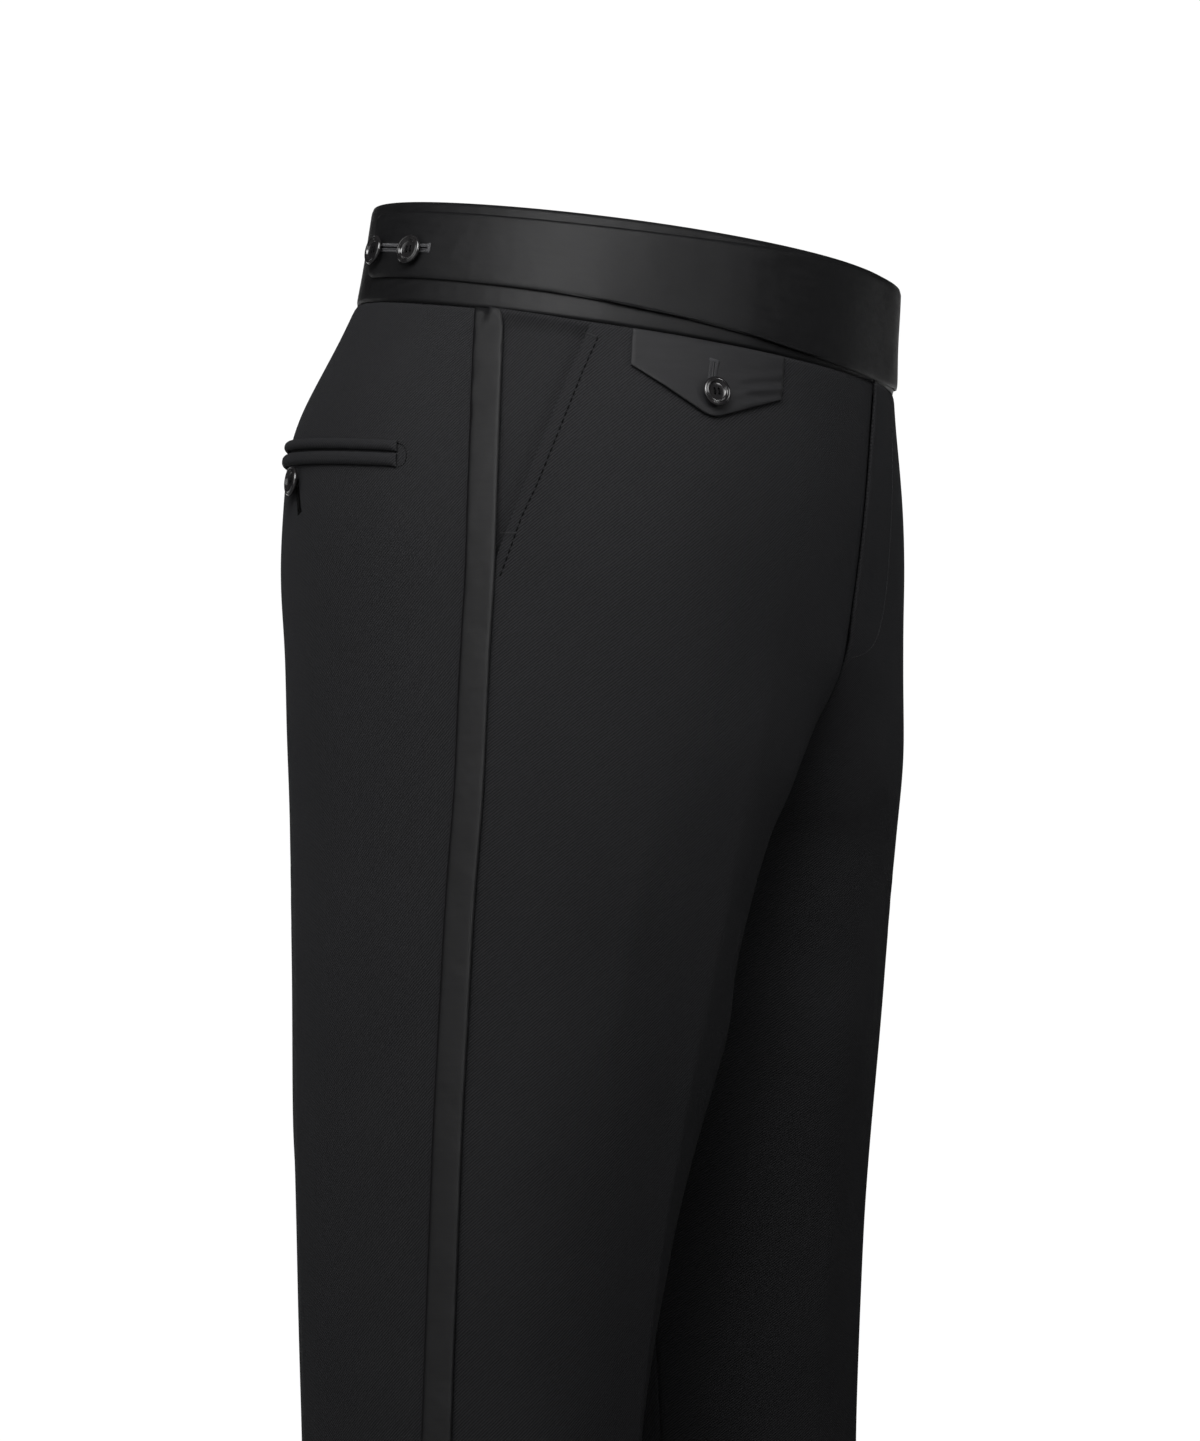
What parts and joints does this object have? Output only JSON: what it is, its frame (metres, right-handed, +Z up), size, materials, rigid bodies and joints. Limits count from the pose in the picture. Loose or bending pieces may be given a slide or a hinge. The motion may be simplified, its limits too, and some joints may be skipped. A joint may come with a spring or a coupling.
{
  "type": "tuxedo trousers",
  "caption": "Black tuxedo trousers filled out as worn: satin waistband with a buttoned wrap, satin side stripes, slanted side pockets, flapped coin pocket and jetted hip pockets.",
  "frame": {"origin": "middle of the waist opening, on the plane of the waistband's top edge", "axes": "+Z up, -Y the front of the trousers, +X the wearer's left"},
  "size_m": [0.3686, 0.2773, 1.0854],
  "materials": {
    "wool": "fine diagonal twill, matte",
    "satin": "satin, soft sheen",
    "button": "polished black"
  },
  "bodies": {
    "root": {"front_left": "wool", "front_right": "wool", "back_left": "wool", "back_right": "wool", "hip_piece_left": "wool", "hip_piece_right": "wool", "side_stripe_left": "satin", "side_stripe_right": "satin", "waistband_left": "satin", "waistband_right": "satin", "waist_wrap": "satin", "hip_pocket_welt_upper_left": "wool", "hip_pocket_welt_upper_right": "wool", "hip_pocket_welt_lower_left": "wool", "hip_pocket_welt_lower_right": "wool", "coin_pocket_flap": "satin", "wrap_button_front_left": "button", "wrap_button_front_right": "button", "wrap_button_back_left": "button", "wrap_button_back_right": "button", "hip_pocket_button_left": "button", "hip_pocket_button_right": "button", "coin_pocket_button": "button"}
  },
  "joints": []
}
